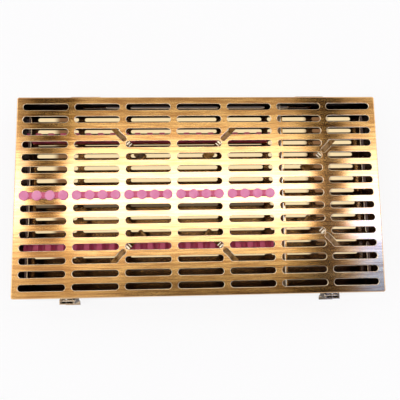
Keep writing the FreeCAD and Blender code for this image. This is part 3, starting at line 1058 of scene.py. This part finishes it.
roomLight = {   # places in the sky are slopes from straight up: 1 is 45 degrees
    "horizon": 0.03,
    "boxStrength": 5.1,                  # soft box over the lid
    "boxColour": (0.99, 0.995, 1.03, 1),
    "boxMiddle": 0.105,
    "boxSoftness": 0.084,
    "boxEnd": (0.68, 0.82),
    "overRange": (-0.15, 0.40),          # from the front of the ceiling to its rear
    "overLevels": (0.055, 0.31),
    "gapRange": (0.03, 0.22),            # the dark bands at both ends of the box
    "gapStart": (0.388, 0.342),
    "gapEnd": (0.474, 0.504),
    "gapEdge": 0.014,
    "gapDepth": 0.99,
    "gapTint": (1.0, 0.60, 0.24, 1),
    "slideRange": (-0.14, 0.05),         # the right one leans inwards at the front
    "gapSlide": 0.05,
    "leftFrontX": (-0.42, -0.10),        # and the left one ends there, in a glow
    "leftFrontY": (-0.14, 0.06),
    "leftFrontLevel": 0.55,
    "leftFrontGap": 0.85,
    "roomFrom": (0.70, 1.2),
    "roomTurn": (0.35, 0.85),
    "roomLevels": (0.5, 1.35),           # to the front and rear, and to the sides
    "roomFrontY": (-1.0, -0.5),
    "roomFrontFar": (2.5, 5.0),
    "roomFrontDepth": 0.8,
    "dimColour": (1.16, 1.0, 0.76, 1),   # beside the box the ceiling is warmer
    "dimRange": 0.32,
    "coolColour": (0.66, 1.4, 4.6, 1),   # a little window light from the right
    "coolX": (0.47, 0.56),
    "coolY": (-0.02, 0.10),
    "coolFar": (0.75, 0.95),
    "coolLevel": 0.25,
    "whiteFrom": (3.0, 6.0),             # where mirrored rays see the white background
}


def addWorld():
    s = roomLight
    world = bpy.data.worlds.new("studioWorld")
    world.use_nodes = True
    bpy.context.scene.world = world
    tree = world.node_tree
    back = tree.nodes["Background"]
    x, y, z = axes(tree, placeOf(tree, "Generated"))
    height = sums(tree, "MAXIMUM", z, s["horizon"])
    signedX = sums(tree, "DIVIDE", x, height)
    slopeX = sums(tree, "ABSOLUTE", signedX)
    slopeY = sums(tree, "DIVIDE", y, height)
    far = sums(tree, "SQRT", sums(tree, "ADD", times(tree, slopeX, slopeX), times(tree, slopeY, slopeY)))
    off = sums(tree, "ABSOLUTE", sums(tree, "SUBTRACT", slopeY, s["boxMiddle"]))
    leftFront = times(tree, fade(tree, signedX, *s["leftFrontX"]), fade(tree, slopeY, *s["leftFrontY"]))

    # the dark bands
    onRight = sums(tree, "GREATER_THAN", signedX, 0.0)
    lean = times(tree, onRight, ramp(tree, slopeY, *s["slideRange"], s["gapSlide"], 0.0))
    slidX = sums(tree, "ADD", slopeX, lean)
    intoGap = sums(tree, "SUBTRACT", slidX, ramp(tree, off, *s["gapRange"], *s["gapStart"]))
    gap = times(tree, ramp(tree, intoGap, -s["gapEdge"], s["gapEdge"]), fade(tree, slidX, *s["gapEnd"]))
    gap = lessen(tree, gap, leftFront, s["leftFrontGap"])

    # the ceiling with the box
    away = sums(tree, "DIVIDE", off, s["boxSoftness"])
    bell = sums(tree, "EXPONENT", times(tree, times(tree, away, away), -0.5))
    bell = times(tree, bell, fade(tree, slopeX, *s["boxEnd"]))
    over = ramp(tree, slopeY, *s["overRange"], *s["overLevels"])
    over = sums(tree, "MULTIPLY_ADD", leftFront, s["leftFrontLevel"], over)
    over = sums(tree, "MULTIPLY_ADD", bell, s["boxStrength"], over)
    over = lessen(tree, over, gap, s["gapDepth"])

    # the room round it
    room = ramp(tree, sums(tree, "DIVIDE", slopeX, far), *s["roomTurn"], *s["roomLevels"])
    front = times(tree, fade(tree, slopeY, *s["roomFrontY"]), fade(tree, far, *s["roomFrontFar"]))
    room = lessen(tree, room, front, s["roomFrontDepth"])
    level = sums(tree, "MULTIPLY_ADD", ramp(tree, far, *s["roomFrom"]), room, over)
    cool = times(tree, ramp(tree, signedX, *s["coolX"]), fade(tree, slopeY, *s["coolY"]))
    cool = times(tree, cool, fade(tree, far, *s["coolFar"]))
    level = sums(tree, "MULTIPLY_ADD", cool, s["coolLevel"], level)
    seen, passedOn = raysThatShow(tree)
    white = sums(tree, "MAXIMUM", seen, times(tree, passedOn, ramp(tree, far, *s["whiteFrom"])))
    level = sums(tree, "ADD", times(tree, level, sums(tree, "SUBTRACT", 1.0, white)), white)
    tree.links.new(level, back.inputs["Strength"])

    dim = times(tree, fade(tree, bell, 0.0, s["dimRange"]), fade(tree, far, *s["roomFrom"]))
    tint = mixColours(tree, dim, s["boxColour"], s["dimColour"])
    for share, colour in ((gap, s["gapTint"]), (cool, s["coolColour"]), (white, (1, 1, 1, 1))):
        tint = mixColours(tree, share, tint, colour)
    tree.links.new(tint, back.inputs["Color"])


addFloor()
addWorld()
bpy.context.scene.view_settings.view_transform = "Standard"
print("studio set")
